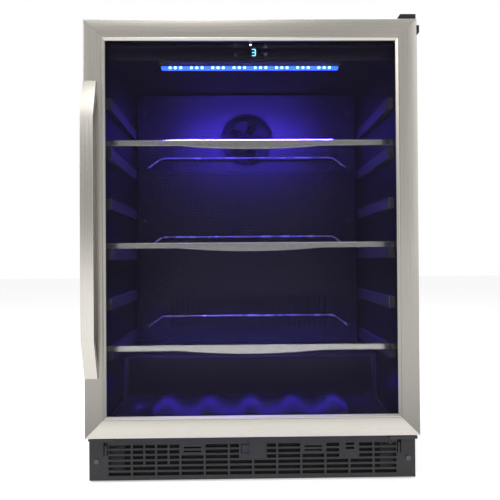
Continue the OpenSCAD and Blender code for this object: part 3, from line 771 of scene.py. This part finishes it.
def make_cradle():
    """The floor rack as a smooth wave with rounded ends."""
    low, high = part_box("bottle_cradle")
    waves, steps, sheet = 6, 96, 3 * MM
    swing = (high.z - low.z - sheet) / 2
    top, bottom = [], []
    for i in range(steps + 1):
        x = low.x + (high.x - low.x) * i / steps
        z = low.z + swing * (1 - math.cos(2 * math.pi * waves * i / steps + math.pi))
        top.append((x, z + sheet))
        bottom.append((x, z))
    bm = bmesh.new()
    add_prism(bm, top + bottom[::-1], place_on_front, low.y, high.y)
    painted_light = moulded("cradle_plastic", (0.014, 0.014, 0.017), 0.24)
    piece = finish_piece("cradle_rack", bm, painted_light, "cabinet", bevel=1.2 * MM, angle=40)
    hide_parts("bottle_cradle")


def make_step_edges():
    """The liner's formed edges round the compressor step: a rounded nosing and two upright fillets."""
    half = 275.6 * MM
    top, floor = 198 * MM, 100.2 * MM
    inset, proud = 10 * MM, 0.8 * MM
    fillet = 13 * MM
    bm = bmesh.new()
    centre = (step_face + inset, top - inset)
    nosing = arc(centre, inset + proud, 180, 90, 10) + [centre]
    add_prism(bm, nosing, lambda y, z, x: (x, y, z), -half, half)
    curve = arc((half - fillet, step_face - fillet), fillet, 0, 90, 8) + [(half, step_face)]
    for side in (-1, 1):
        add_prism(bm, curve, lambda x, y, z: (side * x, y, z), floor, top - inset - 0.2 * MM)
    painted_light = moulded("liner_edge", (0.02, 0.02, 0.025), 0.22)
    finish_piece("step_edges", bm, painted_light, "cabinet", angle=40)


def make_cover_seam(materials):
    """The joint between the evaporator cover's upper and lower halves."""
    low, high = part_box("evaporator_cover")
    inset, half = 3 * MM, 1.6 * MM
    z = low.z + 410 * MM
    bm = bmesh.new()
    add_box(bm, (low.x + inset, low.y - 1.2 * MM, z - half), (high.x - inset, low.y + 0.4 * MM, z + half))
    finish_piece("cover_seam", bm, materials["dark_plastic"], "cabinet", bevel=0.6 * MM)


# ---- behind the kick grille --------------------------------------------------------------------

def make_grille_shade_sheet():
    """A near-black sheet behind the kick grille's slots, with a low skirt out to each side: painted shade
    that keeps the slots dark.
    """
    low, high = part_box("kick_grille")
    half, skirt_end, skirt_top = 233 * MM, 292 * MM, 16 * MM
    start, end = low.y + 7 * MM, low.y + 9 * MM
    bm = bmesh.new()
    add_box(bm, (-half, start, low.z), (half, end, high.z - 0.5 * MM))
    for side in (-1, 1):
        left, right = sorted((side * (half + 0.2 * MM), side * skirt_end))
        add_box(bm, (left, start, low.z), (right, end, skirt_top))
    # near-black, rough: painted shade behind the slots
    shade_black = plain("grille_shade_black", (0.006, 0.006, 0.007), 0.9, grain=1500, grain_depth=0.0003)
    finish_piece("grille_shade_sheet", bm, shade_black, "cabinet")


def make_toe_strip(materials):
    """A steel strip in front of the foam, behind the kick grille's top edge and the gap above it."""
    half = 234.5 * MM
    bm = bmesh.new()
    add_box(bm, (-half, front + 50.2 * MM, 58 * MM), (half, front + 52.8 * MM, 87.8 * MM))
    finish_piece("toe_strip", bm, materials["black_steel"], "cabinet", bevel=0.3 * MM)


# ---- back --------------------------------------------------------------------------------------

COVER_LEFT, COVER_RIGHT = -262 * MM, 218 * MM       # the service cover over the louvres
COVER_BOTTOM, COVER_TOP = 22 * MM, 160 * MM
COVER_BORDER = 9 * MM


def add_disc(bm, x, y, z, radius, proud, top_radius, sides=24):
    """A round boss on a face that looks backwards."""
    place = Matrix.Translation((x, y + proud / 2, z)) @ Matrix.Rotation(math.radians(-90), 4, "X")
    bmesh.ops.create_cone(
        bm, cap_ends=True, segments=sides, radius1=radius, radius2=top_radius, depth=proud, matrix=place
    )


def make_rear_beads(face, zinc):
    """Two upright and two level beads pressed into the rear panel."""
    radius, sunk = 7.2 * MM, 6 * MM
    bm = bmesh.new()
    for x in (-165 * MM, 165 * MM):
        bead = arc((x, face - sunk), radius, 35, 145, 8)
        add_prism(bm, bead, lambda x, y, z: (x, y, z), 235 * MM, 780 * MM)
    for z in (215 * MM, 800 * MM):
        bead = arc((z, face - sunk), radius, 35, 145, 8)
        add_prism(bm, bead, lambda z, y, x: (x, y, z), -255 * MM, 255 * MM)
    finish_piece("rear_beads", bm, zinc, "cabinet", bevel=0.4 * MM)


def make_louvre_hoods(face, zinc):
    """A hood over each louvre: nine rows in two columns."""
    rows, lowest, pitch = 9, 36 * MM, 12 * MM
    foot, crest = face - 0.2 * MM, face + 2.3 * MM
    bm = bmesh.new()
    for row in range(rows):
        z = lowest + row * pitch
        hood = [(foot, z + 5.2 * MM), (crest, z + 1.6 * MM), (crest, z + 1.1 * MM), (foot, z + 4.4 * MM)]
        for x0, x1 in ((-211 * MM, -29 * MM), (-1 * MM, 181 * MM)):
            add_prism(bm, hood, lambda y, z, x: (x, y, z), x0, x1)
    finish_piece("louvre_hoods", bm, zinc, "cabinet", bevel=0.2 * MM)


def make_service_border(face, zinc):
    """The raised border of the service cover."""
    inner_bottom, inner_top = COVER_BOTTOM + COVER_BORDER, COVER_TOP - COVER_BORDER
    bm = bmesh.new()
    for x0, x1, z0, z1 in (
        (COVER_LEFT, COVER_RIGHT, COVER_BOTTOM, inner_bottom),
        (COVER_LEFT, COVER_RIGHT, inner_top, COVER_TOP),
        (COVER_LEFT, COVER_LEFT + COVER_BORDER, inner_bottom, inner_top),
        (COVER_RIGHT - COVER_BORDER, COVER_RIGHT, inner_bottom, inner_top),
    ):
        add_box(bm, (x0, face - 0.2 * MM, z0), (x1, face + 0.9 * MM, z1))
    finish_piece("service_cover_border", bm, zinc, "cabinet", bevel=0.4 * MM)


def make_rear_screws(face, materials):
    """Screws with a cross recess, down both sides, along the top and on the service cover's border."""
    inset = COVER_BORDER / 2
    spots = [(side * 286 * MM, z * MM) for side in (-1, 1) for z in (230, 415, 600, 785)]
    spots += [(x * MM, 819 * MM) for x in (-210, -70, 70, 210)]
    spots += [(x, z * MM) for x in (COVER_LEFT + inset, COVER_RIGHT - inset) for z in (40, 142)]
    arm, arm_w = 2.0 * MM, 0.45 * MM
    heads, recesses = bmesh.new(), bmesh.new()
    for x, z in spots:
        start = face + (0.7 * MM if z < COVER_TOP else 0)
        add_disc(heads, x, start, z, 4.2 * MM, 1.9 * MM, 2.9 * MM)
        low, high = start + 1.2 * MM, start + 1.95 * MM
        for half_x, half_z in ((arm, arm_w), (arm_w, arm)):
            add_box(recesses, (x - half_x, low, z - half_z), (x + half_x, high, z + half_z))
    finish_piece("rear_screws", heads, materials["screw_steel"], "cabinet", bevel=0.3 * MM)
    finish_piece("rear_screw_recesses", recesses, materials["spacer_black"], "cabinet")


def make_foam_plugs(face, materials):
    """Two plugs in the holes through which the foam was blown, each with a raised centre."""
    z = 500 * MM
    bm = bmesh.new()
    for x in (-90 * MM, 90 * MM):
        add_disc(bm, x, face, z, 17 * MM, 1.4 * MM, 16 * MM, 40)
        add_disc(bm, x, face + 1.2 * MM, z, 6 * MM, 1.0 * MM, 5.4 * MM, 32)
    painted_light = materials["machine_plastic"]
    finish_piece("foam_plugs", bm, painted_light, "cabinet", bevel=0.3 * MM)


def make_back(materials):
    """Everything that stands out of the rear panel."""
    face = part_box("rear_panel")[1].y
    zinc = materials["galvanised_steel"]
    make_rear_beads(face, zinc)
    make_louvre_hoods(face, zinc)
    make_service_border(face, zinc)
    make_rear_screws(face, materials)
    make_foam_plugs(face, materials)


# ---- stage -------------------------------------------------------------------------------------

def make_world():
    """White to the camera, and dimmer as a light."""
    world = bpy.data.worlds.new("studio")
    world.use_nodes = True
    tree = world.node_tree
    dim = tree.nodes["Background"]
    dim.inputs["Color"].default_value = (1, 1, 1, 1)
    dim.inputs["Strength"].default_value = 0.5
    seen = tree.nodes.new("ShaderNodeBackground")
    seen.inputs["Color"].default_value = (1, 1, 1, 1)
    path = tree.nodes.new("ShaderNodeLightPath")
    choose = tree.nodes.new("ShaderNodeMixShader")
    tree.links.new(path.outputs["Is Camera Ray"], choose.inputs[0])
    tree.links.new(dim.outputs[0], choose.inputs[1])
    tree.links.new(seen.outputs[0], choose.inputs[2])
    tree.links.new(choose.outputs[0], tree.nodes["World Output"].inputs["Surface"])
    scene = bpy.context.scene
    scene.world = world
    scene.view_settings.view_transform = "Standard"
    scene.cycles.transparent_max_bounces = 32       # the light passes up to ten faces of glass


def make_floor():
    """A plain pale floor."""
    reach = 12
    corners = [(-reach, -reach, 0), (reach, -reach, 0), (reach, reach, 0), (-reach, reach, 0)]
    mesh = bpy.data.meshes.new("floor")
    mesh.from_pydata(corners, [], [(0, 1, 2, 3)])
    floor = bpy.data.objects.new("floor", mesh)
    bpy.context.scene.collection.objects.link(floor)
    pale = Shader("pale_floor", (0.92, 0.92, 0.92), roughness=0.7)
    pale.tint(pale.noise(2, 3), 0.99, 1.01)
    pale.put("Emission Color", (1, 1, 1, 1))
    pale.put("Emission Strength", 0.47)
    mesh.materials.append(pale.material)


def make_area_light(name, place, target, size, power, colour=(1, 1, 1), size_y=None, spread=180):
    """A light that shines from its place towards a target; its spread is in degrees."""
    data = bpy.data.lights.new(name, "AREA")
    data.energy = power
    data.color = colour
    data.size = size
    data.spread = math.radians(spread)
    if size_y:
        data.shape = "RECTANGLE"
        data.size_y = size_y
    light = bpy.data.objects.new(name, data)
    bpy.context.scene.collection.objects.link(light)
    light.location = place
    light.rotation_euler = (Vector(target) - Vector(place)).to_track_quat("-Z", "Y").to_euler()
    light.visible_camera = False


def make_studio_lights():
    """A soft key from the left, a fill from the right, a top light and one on the handle's creases."""
    middle = (0, 0, 0.45)
    make_area_light("key", (-2.6, -1.9, 2.4), middle, 2.0, 45)
    make_area_light("fill", (2.2, -2.2, 1.4), middle, 2.0, 15)
    make_area_light("top", (0, 0.2, 2.6), middle, 1.6, 30)
    make_area_light("crease", (-0.28, -2.1, 2.55), (-0.28, front, 0.7), 0.8, 16)


def make_inside_lights():
    """The light bar's blue light on the back wall and down the shelves, and its reflections."""
    lens_low, lens_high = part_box("led_lens")
    cover_low, cover_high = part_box("evaporator_cover")
    window_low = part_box("display_window")[0]
    blue = (0.075, 0.034, 1.0)
    width = lens_high.x - lens_low.x
    bar, strip = 12 * MM, 3 * MM
    y = (lens_low.y + lens_high.y) / 2
    z = lens_low.z - 2 * MM
    make_area_light(
        "light_bar_glow", (0, y, z), (0, cover_low.y, cover_high.z - 0.25), width, 5.0, blue, bar, spread=140
    )
    make_area_light("light_bar_spill", (0, y, z), (0, y + 0.22, 0), width, 4.2, blue, bar, spread=70)
    make_area_light(
        "cradle_glow", (0, step_face - 3 * MM, 0.134), (0, step_face - 60 * MM, 0.106),
        0.46, 0.05, blue, strip,
    )
    make_area_light(
        "step_glow", (0, step_face - 41 * MM, 0.226), (0, step_face + 2 * MM, 0.192),
        0.52, 0.4, blue, strip,
    )
    make_area_light(
        "light_bar_sheen", (0, window_low.y - 2.5 * MM, z - 10 * MM), (0, window_low.y, z + 0.1),
        width * 0.9, 0.12, blue, strip,
    )


make_camera()
make_world()
make_floor()
make_studio_lights()
make_inside_lights()
materials = make_materials()
special = dress_nodes(materials)
make_rails(special["door_frame"])
make_handle(special["door_handle"])
make_gasket(materials["rubber"])
make_display(materials)
make_diodes()
make_shelf_trims(brushed_steel("stainless_trim", 0, (1.0, 0.985, 0.96), (0.16, 0.24)))
make_wire_clips(materials)
make_wires(materials["bright_wire"])
make_cradle()
make_step_edges()
make_back(materials)
make_cover_seam(materials)
# the dark sheet behind the kick grille is painted shade
make_grille_shade_sheet()
make_toe_strip(materials)
